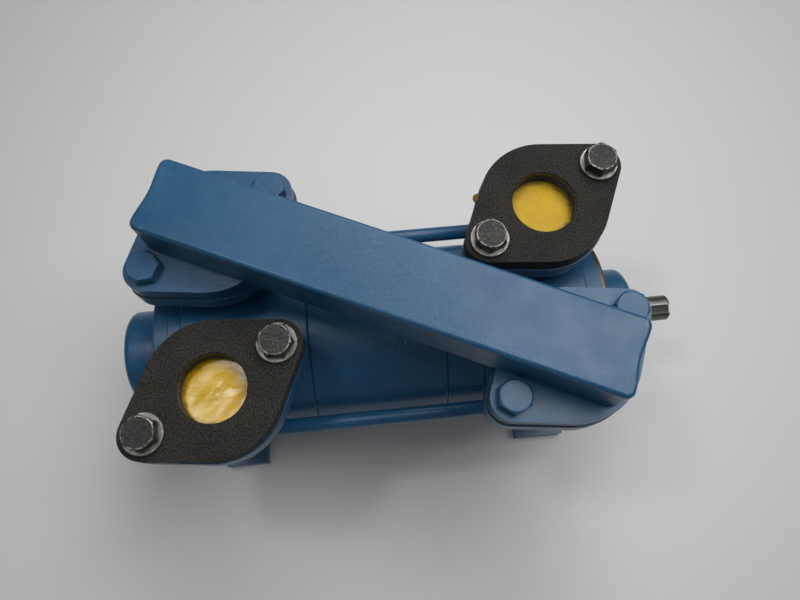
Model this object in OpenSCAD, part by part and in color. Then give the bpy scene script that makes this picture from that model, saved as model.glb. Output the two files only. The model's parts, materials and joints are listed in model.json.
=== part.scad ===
// Two-stage liquid ring vacuum pump with a bare shaft end.
// +X runs along the shaft towards the drive end, +Z is up, and z = 0 is the plane of the feet.
// The origin is the centre of the four foot bolts. "nde" is the closed, non-drive end at -X,
// "de" is the drive end at +X. Gas enters at the front port (-Y) and leaves at the back (+Y) of
// each stage, and a cast bar carries it from the back of stage one to the front of stage two.

/* [Layout] */
// Height of the shaft axis above the feet
axis_h = 100; // [96:1:104]
// Distance of the port centres from the middle of the pump, along the shaft
port_x = 101.3; // [100.5:0.1:102]
// Distance of the port centres from the shaft axis, across the shaft
port_y = 47.5; // [46:0.5:49]
// Height of the casings' port faces above the feet
port_h = 186.5; // [183:0.5:190]

/* [Body] */
// Outer radius of the casings and the stage rings
body_r = 59; // [58.5:0.5:60]
// Distance from the middle to the outer face of each casing
casing_end = 131; // [131:0.5:132]
// Distance from the middle to the joint of the non-drive-end casing and ring one
nde_joint = 51; // [50:0.5:53]
// Distance from the middle to the joint of ring one and ring two
ring_joint = 36; // [34:0.5:38]
// Distance from the middle to the joint of ring two and the drive-end casing
de_joint = 60; // [58:0.5:62]
// Thickness of the plates that close the stages
plate_t = 6; // [5:0.5:7]

/* [Port flanges] */
// Distance of each flange bolt from its port's centre
bolt_reach = 43; // [42.5:0.5:44]
// Angle of the flange bolts' line from the shaft direction
bolt_angle = 30.5; // [28:0.5:33]
// Radius of the round middle of the manifold's and the companion flanges
flange_r = 39.4; // [38.4:0.5:40.4]
// Radius of the ends of the manifold's flanges
lobe_r = 13.2; // [12.7:0.5:14.2]
// Thickness of the casings' and the manifold's flanges
flange_t = 12; // [11:0.5:13]
// Radius of the pipe thread in the companion flanges
thread_r = 19.5; // [19:0.5:20]

/* [Manifold] */
// Width of the manifold bar
bar_w = 46; // [44:1:48]
// Height of the manifold bar
bar_t = 31; // [28:1:34]
// Length of the manifold bar
bar_len = 285; // [280:1:290]

/* [Shaft] */
// Radius of the bare shaft end
shaft_end_r = 9; // [8.5:0.1:9.5]
// Length of the bare shaft end, from its shoulder
shaft_end_len = 34; // [30:1:40]
// Direction of the keyways round the shaft, 90 is straight up and more leans to the front
key_angle = 112; // [111:1:130]

/* [Impellers] */
// Radius of both impellers
impeller_r = 42; // [40:0.5:42]
// Number of blades on each impeller
blades = 12; // [10:1:14]
// How far the ring bores sit below the shaft axis
ring_drop = 4.5; // [4:0.5:5]

/* [Tie rods and feet] */
// Radius of the tie rods
rod_r = 5; // [4:0.5:5]
// Radius of the circle that the tie rods lie on
rod_circle = 68; // [68:0.5:69]
// Distance of the foot bolts from the middle, along the shaft
foot_bolt_x = 119; // [117:1:121]
// Distance of the foot bolts from the middle, across the shaft
foot_bolt_y = 66; // [65:1:67]
// Radius of the foot bolt holes
foot_hole_r = 5.5; // [4.5:0.5:6]

/* [Hidden] */
$fn = 64;
eps = 0.01;
gap = 0.05;                                  // running and fitting clearance on a radius

// Mechanical seals: distances inwards from the seal plate's inner face, and outer radii
seat_depth = 4;
seal_seat_out_r = 19;
face_end = 9;
bellows_end = 24;
collar_end = 30;
collar_r = 18.5;

// Bearings: a 20 x 47 x 14 mm deep-groove ball bearing at each end
seat_r = 10;                                 // shaft radius in the bearings
shaft_r = 12;                                // shaft radius between the bearings
key_w = 8;                                   // impeller keys
key_depth = 4;
key_out = 3;
end_key_w = 6;                               // keyway of the bare shaft end
end_key_depth = 3.5;
bearing_r = 23.5;
bearing_t = 14;
bearing_in = 150;                            // distance of the bearing's inner side from the middle
bearing_out = bearing_in + bearing_t;
pitch_r = 16.75;                             // radius that the balls run on
ball_r = 3.969;
groove_r = 4.1;
balls = 8;
cage_r = 15.6;
cage_t = 2.3;
cage_w = 9.8;
outer_race_in = 19.7;
inner_race_out = 13.8;
bearing_mid = (bearing_in + bearing_out) / 2;

// Bearing brackets
housing_r = 31.5;
nde_housing_end = 177.3;
de_housing_end = 171.3;
housing_floor = bearing_out + 4;             // inner face of the closed housing
seal_seat_r = 17.5;                          // bore for the shaft's lip seal
clip_t = 1.5;
clip_gap = 0.2;
v_ring_from = 141;
nde_plate_t = 8.5;                           // seal plate between the casing and the bracket
nde_disc_end = 149;
de_disc_end = 145;
disc_r = 56.5;
screw_circle = 47.5;
screw_r = 3;
screw_head_r = 5;
screw_head_h = 6;
socket_af = 5;
screws = 6;
screw_tip = casing_end - 11;
screw_clear = 0.3;

// Inside of the casings
seat_plate_r = body_r - 5.5;                 // recess that holds a port plate
chamber_r = 51;
chamber_end = 116;
hub_wall_r = 25;
sleeve_r = 16;
sleeve_bore_r = 17;
seal_bore_r = 21;
seal_bore_depth = 33;
edge_cut = 0.8;                              // small chamfer that leaves a groove at each joint
web_t = 8;
neck_r = 25.5;
neck_tilt = 20;
passage_r = 18;
de_recess_r = 40;
de_recess_t = 8;

// Stage one and two
ring_r = impeller_r + ring_drop + 1;         // 1 mm of land above the impeller
mid_plate_t = 8;
hub_r = 18;
blade_t = 3;
blade_lean = 14;
side_gap = 0.5;
window_r = 27;                               // inner radius of the port plates' windows

// Flange stack above the casings' port faces
casing_ledge = 1;                            // how far the casings' flanges stand out under the others
companion_lobe_r = 14.5;
companion_t = 11.5;
mouth_cut = 1.2;                             // chamfer at the mouth of the pipe thread
gasket_t = 1;
sheet_r = 33;
sheet_t = 0.5;
tab_reach = 43;
tab_angle = 164;
tab_r = 3.4;
washer_r = 11.7;
washer_t = 2.5;
flange_bolt_r = 6;
flange_hole_r = flange_bolt_r + 0.5;
flange_head_af = 18;
flange_head_h = 7.5;
manifold_turns = [[-26, 12], [-6, 12]];      // turn of each bolt head, for its flange's -X and +X bolt
companion_turns = [[4, 24], [-8, -8]];
flange_z = port_h + gasket_t;                // underside of the manifold and companion flanges
bolt_tip_z = port_h - flange_t - 1;
bar_angle = atan2(-port_y, port_x);
bar_edge = 2.5;                                // rounding of the bar's top edges
bar_corner = 5;                             // rounding of its corners, seen from above
bar_hollow = 1.5;                            // how far its ends curve in
bar_wall = 6;
bar_end_wall = 14;

// Tie rods and feet
rod_angles = [22, 158, -50, 230];
lug_t = 14;
lug_r = 9.5;
lug_end = casing_end - 1.5;                  // outer faces of the lugs and of the feet's webs
rod_tip = lug_end + 13;
nut_af = 16;
nut_h = 8;
rod_washer_r = 9;
rod_washer_t = 2;
rod_clear = 0.3;
rod_hole_from = 100;
nde_foot_in = 104.5;
de_foot_in = 99;
foot_out = 137;
foot_y = 75;
foot_t = 12;
web_y = 57;
web_top = axis_h - 25;

// Drain plug, on a boss low on the front of the drive-end casing
plug_x = 67.5;
plug_angle = 204;                            // round the shaft, 180 is the front
plug_seat = 60.5;                            // distance of the boss's face from the shaft axis
plug_r = 4;
plug_len = 6;
plug_af = 10;
plug_head_h = 6;
boss_r = 6;
boss_h = 6;

// ---- shapes that several pieces share ----

// Points of an arc about [cx, cy]
function arc(cx, cy, r, from, to, n = 16) =
    [for (i = [0:n]) let(a = from + (to - from) * i / n) [cx + r * cos(a), cy + r * sin(a)]];

// A profile of [radius, x] points turned about the shaft axis
module turned(points) {
    translate([0, 0, axis_h]) rotate([0, 90, 0]) rotate_extrude() polygon(points);
}

// A plain cylinder on the shaft axis
module axial(from, to, r) {
    translate([from, 0, axis_h]) rotate([0, 90, 0]) cylinder(h = to - from, r = r);
}

// A plain ring on the shaft axis
module ring(from, to, r_in, r_out) {
    turned([[r_in, from], [r_out, from], [r_out, to], [r_in, to]]);
}

// An outline in the plane across the shaft, y to the right and z up, extruded towards +X
module across(from, thickness) {
    translate([from, 0, axis_h]) rotate([90, 0, 90]) linear_extrude(thickness) children();
}

// Moves children out from the shaft axis at an angle, 0 is towards the back and 90 is up
module round_axis(angle, r) {
    translate([0, r * cos(angle), axis_h + r * sin(angle)]) children();
}

// Both ends of the pump: the drive end as drawn, the other turned about Z
module both_ends() {
    children();
    rotate([0, 0, 180]) children();
}

module at_ports(which) {
    for (p = which) translate([p[0] * port_x, p[1] * port_y, 0]) children();
}
all_ports = [[-1, -1], [-1, 1], [1, -1], [1, 1]];
manifold_ports = [[-1, 1], [1, -1]];
companion_ports = [[-1, -1], [1, 1]];

// The two bolts of one flange
module at_bolts() {
    for (s = [-1, 1]) rotate([0, 0, bolt_angle]) translate([s * bolt_reach, 0, 0]) children();
}

// Flange outline: a round middle and two round ends, joined by their tangents
module flange_outline(middle_r, end_r) {
    lean = acos((middle_r - end_r) / bolt_reach);
    rotate(bolt_angle) polygon(concat(
        arc(bolt_reach, 0, end_r, -lean, lean),
        arc(0, 0, middle_r, lean, 180 - lean),
        arc(-bolt_reach, 0, end_r, 180 - lean, 180 + lean),
        arc(0, 0, middle_r, 180 + lean, 360 - lean)));
}

// Hexagon prism along +Z with its top corners turned off at 30 degrees
module hex(af, h) {
    corner = af / sqrt(3);
    flat_r = af / 2 - 0.4;
    drop = (corner + 1 - flat_r) * tan(30);
    intersection() {
        cylinder(h = h, r = corner, $fn = 6);
        rotate_extrude() polygon([[0, 0], [corner + 1, 0], [corner + 1, h - drop], [flat_r, h], [0, h]]);
    }
}

module hex_bolt(tip_z, seat_z, r, af, head_h) {
    translate([0, 0, tip_z]) cylinder(h = seat_z - tip_z + eps, r = r);
    translate([0, 0, seat_z]) hex(af, head_h);
}

// ---- casings, rings and plates ----

// One end casing, drawn at the drive end, with its two ports, feet and tie rod lugs
module casing(joint, recess_r, recess_t, foot_in) {
    seal_face = casing_end - recess_t;
    difference() {
        union() {
            turned([[0, joint], [body_r - edge_cut, joint], [body_r, joint + edge_cut],
                [body_r, casing_end - 1], [body_r - 1, casing_end], [0, casing_end]]);
            for (s = [-1, 1]) port_neck(s);
            for (a = [rod_angles[0], rod_angles[1]]) rod_lug(a);
            foot(foot_in);
        }
        port_chambers(joint);
        for (s = [-1, 1]) port_passage(s);
        axial(joint - 1, joint + plate_t, seat_plate_r);
        axial(joint, casing_end, sleeve_bore_r);
        axial(seal_face - seal_bore_depth, casing_end + 1, seal_bore_r);
        if (recess_t > 0) axial(seal_face, casing_end + 1, recess_r);
        for (a = rod_angles) round_axis(a, rod_circle) translate([rod_hole_from, 0, 0])
            rotate([0, 90, 0]) cylinder(h = casing_end + 9 - rod_hole_from, r = rod_r + rod_clear);
        for (i = [0:screws - 1]) round_axis(i * 360 / screws, screw_circle)
            translate([screw_tip - 0.5, 0, 0]) rotate([0, 90, 0]) cylinder(h = 12, r = screw_r + gap);
        for (s = [-1, 1]) translate([foot_bolt_x, s * foot_bolt_y, -1])
            cylinder(h = foot_t + 2, r = foot_hole_r);
    }
}

// A port's flange and the tilted neck under it, which ends half way up the flange
module port_neck(s) {
    below = 100;
    translate([port_x, s * port_y, port_h - flange_t]) {
        linear_extrude(flange_t) flange_outline(flange_r + casing_ledge, lobe_r + casing_ledge);
        intersection() {
            rotate([-s * neck_tilt, 0, 0]) translate([0, 0, -70]) cylinder(h = 90, r = neck_r);
            translate([-below / 2, -below, -below]) cube([below, 2 * below, below + flange_t / 2]);
        }
    }
}

// The gas way from a port face down into its chamber
module port_passage(s) {
    translate([port_x, s * port_y, port_h - flange_t]) {
        translate([0, 0, -4]) cylinder(h = flange_t + 5, r = thread_r);
        rotate([-s * neck_tilt, 0, 0]) translate([0, 0, -62]) cylinder(h = 62, r = passage_r);
    }
    at_ports([[1, s]]) at_bolts() translate([0, 0, bolt_tip_z - 1])
        cylinder(h = flange_t + 3, r = flange_bolt_r + gap);
}

// Inlet and outlet chambers round the hub, kept apart by a web above and below the shaft
module port_chambers(joint) {
    difference() {
        ring(joint + plate_t - 1, chamber_end, hub_wall_r, chamber_r);
        translate([0, -web_t / 2, axis_h - body_r]) cube([200, web_t, 2 * body_r]);
    }
}

module rod_lug(a) {
    rib = lug_r - 1.5;
    round_axis(a, rod_circle) translate([lug_end - lug_t, 0, 0])
        rotate([0, 90, 0]) cylinder(h = lug_t, r = lug_r);
    translate([lug_end - lug_t + 1.5, 0, axis_h]) rotate([a, 0, 0])
        translate([0, 50, -rib]) cube([lug_t - 3, rod_circle - rod_r - 51, 2 * rib]);
}

module foot(foot_in) {
    translate([foot_in, -foot_y, 0]) cube([foot_out - foot_in, 2 * foot_y, foot_t]);
    translate([lug_end - lug_t, -web_y, 0]) cube([lug_t, 2 * web_y, web_top]);
}

module nde_casing() {
    color("steelblue") rotate([0, 0, 180]) casing(nde_joint, 0, 0, nde_foot_in);
}

module de_casing() {
    color("steelblue") difference() {
        union() {
            casing(de_joint, de_recess_r, de_recess_t, de_foot_in);
            at_plug() translate([0, 0, -boss_h]) cylinder(h = boss_h, r = boss_r);
        }
        at_plug() translate([0, 0, -2 * boss_h]) cylinder(h = 2 * boss_h + 1, r = plug_r + gap);
    }
}

// The middle of the drain boss's face, with +Z out from the shaft axis
module at_plug() {
    translate([plug_x, 0, axis_h]) rotate([plug_angle - 90, 0, 0]) translate([0, 0, plug_seat]) children();
}

// Ring with an off-centre bore that makes the liquid ring's crescent
module stage_ring(from, to, counterbore) {
    difference() {
        turned([[0, from], [body_r - edge_cut, from], [body_r, from + edge_cut],
            [body_r, to - edge_cut], [body_r - edge_cut, to], [0, to]]);
        translate([0, 0, -ring_drop]) axial(from - 1, to + 1, ring_r);
        if (counterbore > 0) axial(to - counterbore, to + 1, seat_plate_r);
    }
}

module stage_1_ring() {
    color("steelblue") stage_ring(-nde_joint, ring_joint, mid_plate_t);
}

module stage_2_ring() {
    color("steelblue") stage_ring(ring_joint, de_joint, 0);
}

// Round plate with a bore for the shaft sleeve
module plate(from, thickness) {
    ring(from, from + thickness, sleeve_r + gap, seat_plate_r - gap);
}

// Curved slot in a port plate between two angles round the shaft
module window(from, start, end, r_in, r_out) {
    across(from - 1, plate_t + 2)
        polygon(concat(arc(0, 0, r_out, start, end), arc(0, 0, r_in, end, start)));
}

module port_plate(from) {
    difference() {
        plate(from, plate_t);
        window(from, 165, 250, window_r, 38);
        window(from, 15, 60, window_r, 34);
    }
}

module intermediate_plate() {
    color("dimgray") plate(ring_joint - mid_plate_t, mid_plate_t);
}

module port_plate_1() {
    color("dimgray") port_plate(-nde_joint - plate_t);
}

module port_plate_2() {
    color("dimgray") port_plate(de_joint);
}

// ---- rotor ----

// Keyway or key along the shaft, on the shaft's own angle
module key_bar(from, to, width, r_in, r_out) {
    translate([from, 0, axis_h]) rotate([key_angle, 0, 0])
        translate([0, r_in, -width / 2]) cube([to - from, r_out - r_in, width]);
}

stage_1_from = -nde_joint + side_gap;
stage_1_to = ring_joint - mid_plate_t - side_gap;
stage_2_from = ring_joint + side_gap;
stage_2_to = de_joint - side_gap;
key_1 = [stage_1_from + 10, stage_1_to - 10];
key_2 = [stage_2_from + 3, stage_2_to - 3];
shoulder = de_housing_end + 0.3;
shaft_tip = shoulder + shaft_end_len;

module shaft() {
    clip_in = bearing_out + gap;
    clip_out = bearing_out + 1.3;
    nde_tip = bearing_out + 3;
    clip_groove_r = seat_r - 0.5;
    color("silver") difference() {
        turned([[0, -nde_tip], [seat_r - 0.6, -nde_tip], [seat_r, 0.6 - nde_tip], [seat_r, -clip_out],
            [clip_groove_r, -clip_out], [clip_groove_r, -clip_in], [seat_r, -clip_in],
            [seat_r, -bearing_in], [shaft_r, -bearing_in], [shaft_r, bearing_in],
            [seat_r, bearing_in], [seat_r, clip_in], [clip_groove_r, clip_in],
            [clip_groove_r, clip_out], [seat_r, clip_out], [seat_r, shoulder],
            [shaft_end_r, shoulder], [shaft_end_r, shaft_tip - 1], [shaft_end_r - 1, shaft_tip],
            [0, shaft_tip]]);
        for (k = [key_1, key_2])
            key_bar(k[0] - gap, k[1] + gap, key_w + 2 * gap, shaft_r - key_depth, shaft_r + 1);
        key_bar(shoulder + 4, shaft_tip + 1, end_key_w, shaft_end_r - end_key_depth, shaft_end_r + 1);
    }
}

module impeller_keys() {
    color("gray") for (k = [key_1, key_2]) key_bar(k[0], k[1], key_w, shaft_r - key_depth + gap, shaft_r + key_out);
}

// Blade outline from hub to tip, leaning further round as it goes out
function blade_side(s) = [for (i = [0:6])
    let(t = i / 6, r = hub_r - 3 + t * (impeller_r - hub_r + 3), a = blade_lean * t * t)
    [r * cos(a) - s * blade_t / 2 * sin(a), r * sin(a) + s * blade_t / 2 * cos(a)]];
function reversed(v) = [for (i = [len(v) - 1:-1:0]) v[i]];

module impeller(from, to, middle_web) {
    difference() {
        union() {
            axial(from, to, hub_r);
            if (middle_web) axial((from + to) / 2 - 2, (from + to) / 2 + 2, impeller_r - 8);
            for (i = [0:blades - 1]) across(from, to - from) rotate(i * 360 / blades)
                polygon(concat(blade_side(-1), reversed(blade_side(1))));
        }
        axial(from - 1, to + 1, shaft_r + gap);
        key_bar(from - 1, to + 1, key_w + 2 * gap, shaft_r - 1, shaft_r + key_out + 0.3);
    }
}

module impeller_1() {
    color("peru") impeller(stage_1_from, stage_1_to, true);
}

module impeller_2() {
    color("peru") impeller(stage_2_from, stage_2_to, false);
}

module sleeve(from, to) {
    color("silver") ring(from, to, shaft_r + gap, sleeve_r);
}

module nde_shaft_sleeve() {
    sleeve(-(casing_end - collar_end), stage_1_from);
}

module interstage_sleeve() {
    sleeve(stage_1_to, stage_2_from);
}

module de_shaft_sleeve() {
    sleeve(stage_2_to, casing_end - de_recess_t - collar_end);
}

// ---- mechanical seals ----

// Inner face of each seal plate, with the side of the pump that it is on
seal_sides = [[-1, casing_end], [1, casing_end - de_recess_t]];

// Draws its children for both seals: x = 0 is the seal plate's inner face, +X away from it
module at_seals() {
    for (s = seal_sides) rotate([0, 0, s[0] > 0 ? 0 : 180]) translate([s[1], 0, 0]) children();
}

module seal_plate(from, to, r) {
    difference() {
        ring(from, to, shaft_r + 1, r);
        axial(from - 1, from + seat_depth + 0.2, seal_seat_out_r + gap);
        for (i = [0:screws - 1]) round_axis(i * 360 / screws, screw_circle)
            translate([from - 1, 0, 0]) rotate([0, 90, 0]) cylinder(h = to - from + 2, r = screw_r + screw_clear);
    }
}

module nde_seal_plate() {
    color("steelblue") rotate([0, 0, 180]) seal_plate(casing_end, casing_end + nde_plate_t, disc_r + 0.5);
}

module de_seal_plate() {
    color("dimgray") seal_plate(casing_end - de_recess_t, casing_end, de_recess_r - gap);
}

module seal_seats() {
    color("whitesmoke") at_seals() ring(-seat_depth, seat_depth, shaft_r + 0.6, seal_seat_out_r);
}

module seal_faces() {
    color("black") at_seals() ring(-face_end, -seat_depth - gap, shaft_r + gap, seal_seat_out_r - 1);
}

// Rubber bellows with five folds
module seal_bellows() {
    folds = 5;
    fold = (bellows_end - face_end) / folds;
    low_r = 16;
    color("dimgray") at_seals() turned(concat(
        [[shaft_r + gap, -bellows_end], [low_r + 1, -bellows_end]],
        [for (i = [0:folds - 1]) let(x = i * fold - bellows_end) each [[collar_r, x + 0.25 * fold],
            [collar_r, x + 0.5 * fold], [low_r, x + 0.75 * fold], [low_r, x + 0.95 * fold]]],
        [[low_r, -face_end], [shaft_r + gap, -face_end]]));
}

module seal_collars() {
    color("silver") at_seals() ring(-collar_end, -bellows_end, shaft_r + gap, collar_r);
}

// ---- bearing brackets and bearings ----

// Disc and bearing housing in one, closed at its end or open for the shaft seal
module bracket(face, disc_end, end, closed) {
    mouth = closed ? 0 : seal_seat_r;
    stop_r = closed ? 20 : seal_seat_r;
    stop = closed ? bearing_out + 2 : bearing_out;
    floor_x = closed ? housing_floor : end;
    clip_groove_r = bearing_r + 1.1;
    clip_groove_from = bearing_in - clip_t - 2 * clip_gap;
    root_r = 4;
    end_r = 5;
    difference() {
        turned(concat(
            [[mouth, floor_x], [stop_r, floor_x], [stop_r, stop], [bearing_r, stop],
                [bearing_r, bearing_in], [clip_groove_r, bearing_in], [clip_groove_r, clip_groove_from],
                [bearing_r, clip_groove_from], [bearing_r, face], [disc_r, face], [disc_r, disc_end - 1],
                [disc_r - 1, disc_end], [housing_r + root_r, disc_end]],
            arc(housing_r + root_r, disc_end + root_r, root_r, 270, 180, 6),
            arc(housing_r - end_r, end - end_r, end_r, 0, 90, 6),
            [[mouth, end]]));
        for (i = [0:screws - 1]) round_axis(i * 360 / screws, screw_circle) {
            translate([face - 1, 0, 0]) rotate([0, 90, 0]) cylinder(h = 30, r = screw_r + screw_clear);
            translate([disc_end - screw_head_h - screw_clear, 0, 0]) rotate([0, 90, 0])
                cylinder(h = 10, r = screw_head_r + screw_clear);
        }
    }
}

module nde_bearing_bracket() {
    color("steelblue") rotate([0, 0, 180]) bracket(casing_end + nde_plate_t, nde_disc_end, nde_housing_end, true);
}

module de_bearing_bracket() {
    color("steelblue") bracket(casing_end, de_disc_end, de_housing_end, false);
}

// Socket-head screws that hold the brackets, heads sunk in the discs
module screw_set(disc_end) {
    seat = disc_end - screw_head_h - screw_clear;
    for (i = [0:screws - 1]) round_axis(i * 360 / screws, screw_circle) rotate([0, 90, 0]) difference() {
        union() {
            translate([0, 0, screw_tip]) cylinder(h = seat - screw_tip + eps, r = screw_r);
            translate([0, 0, seat]) cylinder(h = screw_head_h, r = screw_head_r);
        }
        translate([0, 0, seat + screw_head_h / 2]) cylinder(h = screw_head_h, r = socket_af / sqrt(3), $fn = 6);
    }
}

module bracket_screws() {
    color("gray") {
        screw_set(de_disc_end);
        rotate([0, 0, 180]) screw_set(nde_disc_end);
    }
}

// Draws one bearing's piece about the shaft axis, centred on x
module at_bearing(x) {
    translate([x, 0, axis_h]) rotate([0, 90, 0]) children();
}

module race(r_in, r_out, groove_at) {
    rotate_extrude() difference() {
        translate([r_in, -bearing_t / 2]) square([r_out - r_in, bearing_t]);
        translate([groove_at, 0]) circle(r = groove_r);
    }
}

module outer_race(x) {
    color("silver") at_bearing(x) race(outer_race_in, bearing_r - eps, pitch_r + ball_r + 0.03 - groove_r);
}

module inner_race(x) {
    color("silver") at_bearing(x) race(seat_r + eps, inner_race_out, pitch_r - ball_r - 0.03 + groove_r);
}

// Its children at every ball, with +X out from the shaft axis
module at_balls(x) {
    at_bearing(x) for (i = [0:balls - 1]) rotate([0, 0, i * 360 / balls]) translate([pitch_r, 0, 0]) children();
}

module ball_set(x) {
    color("white") at_balls(x) sphere(r = ball_r);
}

// Ring with a drilled pocket round every ball
module ball_cage(x) {
    color("gold") difference() {
        at_bearing(x) rotate_extrude() translate([cage_r, -cage_w / 2]) square([cage_t, cage_w]);
        at_balls(x) rotate([0, 90, 0]) cylinder(h = 8, r = ball_r + 0.08, center = true);
    }
}

module nde_bearing_outer_race() { outer_race(-bearing_mid); }
module nde_bearing_inner_race() { inner_race(-bearing_mid); }
module nde_bearing_balls() { ball_set(-bearing_mid); }
module nde_bearing_cage() { ball_cage(-bearing_mid); }
module de_bearing_outer_race() { outer_race(bearing_mid); }
module de_bearing_inner_race() { inner_race(bearing_mid); }
module de_bearing_balls() { ball_set(bearing_mid); }
module de_bearing_cage() { ball_cage(bearing_mid); }

// Washer spring that loads the non-drive-end bearing's outer race
module bearing_spring() {
    color("silver") ring(-bearing_out - 1.9, -bearing_out - gap, 20.4, bearing_r - 0.3);
}

module housing_circlips() {
    color("gray") both_ends() difference() {
        ring(bearing_in - clip_gap - clip_t, bearing_in - clip_gap, 20.8, bearing_r + 1);
        translate([bearing_in - 3, -2.5, axis_h - 30]) cube([4, 5, 20]);
    }
}

module shaft_circlips() {
    color("gray") both_ends() difference() {
        ring(bearing_out + 0.1, bearing_out + 1.2, seat_r - 0.45, seat_r + 2.5);
        translate([bearing_out - 1, -1.5, axis_h + 5]) cube([4, 3, 10]);
    }
}

// Rubber rings that turn with the shaft and wipe the inside of the bearings
module v_rings() {
    x = v_ring_from;
    color("black") both_ends() turned([[shaft_r + gap, x], [16, x], [16, x + 2.5], [18.5, x + 5.5],
        [17.8, x + 6], [14.5, x + 3.5], [shaft_r + gap, x + 3.5]]);
}

module shaft_lip_seal() {
    x = bearing_out + 1.6;
    lip_r = seat_r + 0.06;
    color("black") turned([[seal_seat_r - gap, x], [lip_r, x + 1], [lip_r, x + 1.8],
        [11.5, x + 2.8], [11.5, x + 5], [seal_seat_r - gap, x + 5]]);
}

// ---- tie rods and plug ----

module tie_rods() {
    color("steelblue") for (a = rod_angles) round_axis(a, rod_circle)
        translate([-rod_tip, 0, 0]) rotate([0, 90, 0]) cylinder(h = 2 * rod_tip, r = rod_r);
}

// Both ends of every rod, drawn at the drive end with +Z along the rod
module at_rod_ends() {
    both_ends() for (a = rod_angles) round_axis(a, rod_circle)
        translate([lug_end, 0, 0]) rotate([0, 90, 0]) children();
}

module tie_rod_nuts() {
    color("steelblue") at_rod_ends() translate([0, 0, rod_washer_t]) difference() {
        hex(nut_af, nut_h);
        translate([0, 0, -1]) cylinder(h = nut_h + 2, r = rod_r + gap);
    }
}

module tie_rod_washers() {
    color("steelblue") at_rod_ends() difference() {
        cylinder(h = rod_washer_t, r = rod_washer_r);
        translate([0, 0, -1]) cylinder(h = rod_washer_t + 2, r = rod_r + rod_clear);
    }
}

module drain_plug() {
    color("dimgray") at_plug() {
        translate([0, 0, -plug_len]) cylinder(h = plug_len + eps, r = plug_r);
        hex(plug_af, plug_head_h);
    }
}

// ---- manifold and companion flanges ----

// Manifold bar lying between its two ports, cut out for the gas way
module manifold() {
    color("steelblue") difference() {
        union() {
            at_ports(manifold_ports) translate([0, 0, flange_z]) linear_extrude(flange_t)
                flange_outline(flange_r, lobe_r);
            bar_body();
        }
        at_ports(manifold_ports) translate([0, 0, flange_z]) {
            translate([0, 0, -1]) cylinder(h = flange_t - 1, r = thread_r);
            cylinder(h = flange_t + bar_t / 2, r = bar_w / 2 - bar_wall);
            at_bolts() translate([0, 0, -1]) cylinder(h = flange_t + 2, r = flange_hole_r);
        }
        rotate([0, 0, bar_angle])
            translate([-bar_len / 2 + bar_end_wall, -bar_w / 2 + bar_wall, flange_z + flange_t + bar_wall])
            cube([bar_len - 2 * bar_end_wall, bar_w - 2 * bar_wall, bar_t - 2 * bar_wall]);
    }
}

// Bar with rounded top edges, rounded corners and slightly hollow ends
module bar_body() {
    hollow_r = (bar_w * bar_w / 4 + bar_hollow * bar_hollow) / (2 * bar_hollow);
    x = bar_len / 2 - bar_corner;
    y = bar_w / 2 - bar_corner;
    rotate([0, 0, bar_angle]) difference() {
        intersection() {
            bar_side(bar_len, bar_w);
            rotate([0, 0, 90]) bar_side(bar_w, bar_len);
            translate([0, 0, flange_z]) linear_extrude(flange_t + bar_t + 1) polygon(concat(
                arc(x, y, bar_corner, 0, 90, 6), arc(-x, y, bar_corner, 90, 180, 6),
                arc(-x, -y, bar_corner, 180, 270, 6), arc(x, -y, bar_corner, 270, 360, 6)));
        }
        for (s = [-1, 1]) translate([s * (bar_len / 2 + hollow_r - bar_hollow), 0, flange_z])
            cylinder(h = flange_t + bar_t + 1, r = hollow_r, $fn = 128);
    }
}

// The bar's outline across its width or its length, with rounded top corners, extruded
module bar_side(length, width) {
    w = width / 2 - bar_edge;
    h = bar_t - bar_edge;
    translate([-length / 2, 0, flange_z + flange_t - eps]) rotate([90, 0, 90])
        linear_extrude(length) polygon(concat([[-width / 2, 0], [width / 2, 0]],
            arc(w, h, bar_edge, 0, 90, 6), arc(-w, h, bar_edge, 90, 180, 6)));
}

// Flat sheet of the flange's outline with its three holes
module gasket(thickness) {
    linear_extrude(thickness) difference() {
        flange_outline(flange_r + 0.3, lobe_r + 0.6);
        circle(r = thread_r + 1);
        at_bolts() circle(r = flange_hole_r);
    }
}

module manifold_gaskets() {
    color("black") at_ports(manifold_ports) translate([0, 0, port_h]) gasket(gasket_t);
}

module companion_gaskets() {
    color("black") at_ports(companion_ports) translate([0, 0, port_h]) gasket(gasket_t - sheet_t);
}

// Thin sheets clamped under the companion flanges that close the ports until the pump is piped up.
// The outlet's has a tab to pull it out by.
module port_blanking_sheets() {
    color("gold") {
        at_ports(companion_ports) translate([0, 0, port_h + gasket_t - sheet_t])
            cylinder(h = sheet_t, r = sheet_r);
        at_ports([[1, 1]]) translate([0, 0, port_h + gasket_t - sheet_t]) rotate([0, 0, tab_angle]) {
            translate([sheet_r - 3, -tab_r + 0.2, 0]) cube([tab_reach - tab_r - sheet_r + 3, 2 * tab_r - 0.4, sheet_t]);
            translate([tab_reach - tab_r, 0, 0]) cylinder(h = sheet_t, r = tab_r);
        }
    }
}

module companion_flange() {
    difference() {
        linear_extrude(companion_t) flange_outline(flange_r, companion_lobe_r);
        translate([0, 0, -1]) cylinder(h = companion_t + 2, r = thread_r);
        translate([0, 0, companion_t]) rotate_extrude()
            polygon([[0, -mouth_cut], [thread_r, -mouth_cut], [thread_r + mouth_cut + 0.1, 0.1], [0, 0.1]]);
        at_bolts() translate([0, 0, -1]) cylinder(h = companion_t + 2, r = flange_hole_r);
    }
}

module inlet_flange() {
    color("darkslategray") at_ports([[-1, -1]]) translate([0, 0, flange_z]) companion_flange();
}

module outlet_flange() {
    color("darkslategray") at_ports([[1, 1]]) translate([0, 0, flange_z]) companion_flange();
}

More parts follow.
